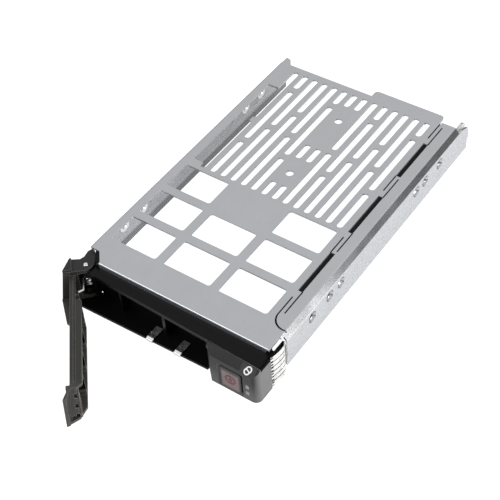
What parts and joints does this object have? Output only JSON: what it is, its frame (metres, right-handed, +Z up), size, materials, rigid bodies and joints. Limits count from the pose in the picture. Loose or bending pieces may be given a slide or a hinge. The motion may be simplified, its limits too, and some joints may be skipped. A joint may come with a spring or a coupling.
{
  "type": "hot swap drive carrier",
  "caption": "Open sheet-metal drive tray with a windowed and slotted plate, a black bezel, a swung-out lever and a release button.",
  "frame": {"origin": "on the bezel's foot plane, under the middle of the plate's front edge", "axes": "+X across the tray from the lever's side to the button's side, +Y from the bezel to the rear tongue, +Z up from the foot to the plate"},
  "size_m": [0.1137, 0.2437, 0.0245],
  "materials": {
    "zinc_sheet": "galvanised, satin",
    "black_plastic": "satin",
    "grey_plastic": "satin",
    "lever_plastic": "satin",
    "button_plastic": "satin",
    "mark_red": "matte",
    "mark_white": "matte",
    "symbol_ground": "matte",
    "clear_plastic": "clear, polished",
    "bright_steel": "bright",
    "spring_steel": "bright",
    "liner_black": "matte"
  },
  "bodies": {
    "carrier": {"tray": "zinc_sheet", "bezel_frame": "black_plastic", "control_block": "grey_plastic", "symbol_plate": "symbol_ground", "drive_symbol": "mark_white", "lens_activity": "clear_plastic", "lens_status": "clear_plastic", "light_pipe_activity": "clear_plastic", "light_pipe_status": "clear_plastic", "pipe_rail": "black_plastic", "edge_liner": "liner_black", "contact_clip_left": "bright_steel", "contact_clip_right": "bright_steel", "emi_gasket": "bright_steel", "lever_pin": "bright_steel", "pin_ring": "bright_steel", "button_spring": "spring_steel"},
    "lever": {"lever": "lever_plastic", "lever_spring": "spring_steel"},
    "button": {"release_button": "button_plastic", "button_ring": "mark_red", "button_dot": "mark_red", "latch_arm": "button_plastic"}
  },
  "joints": [
    {"name": "lever_hinge", "type": "hinge", "parent": "carrier", "child": "lever", "pos_m": [-0.0488, -0.0018, 0.012], "axis": [0, 0, 1], "range_deg": [0, 49.2], "stiffness_Nm_per_rad": 0.004, "springref_deg": -20.05},
    {"name": "button_press", "type": "slide", "parent": "carrier", "child": "button", "axis": [0, 1, 0], "range_m": [0, 0.0025], "stiffness_N_per_m": 400, "springref_m": -0.001, "deforming": ["button_spring"]}
  ]
}
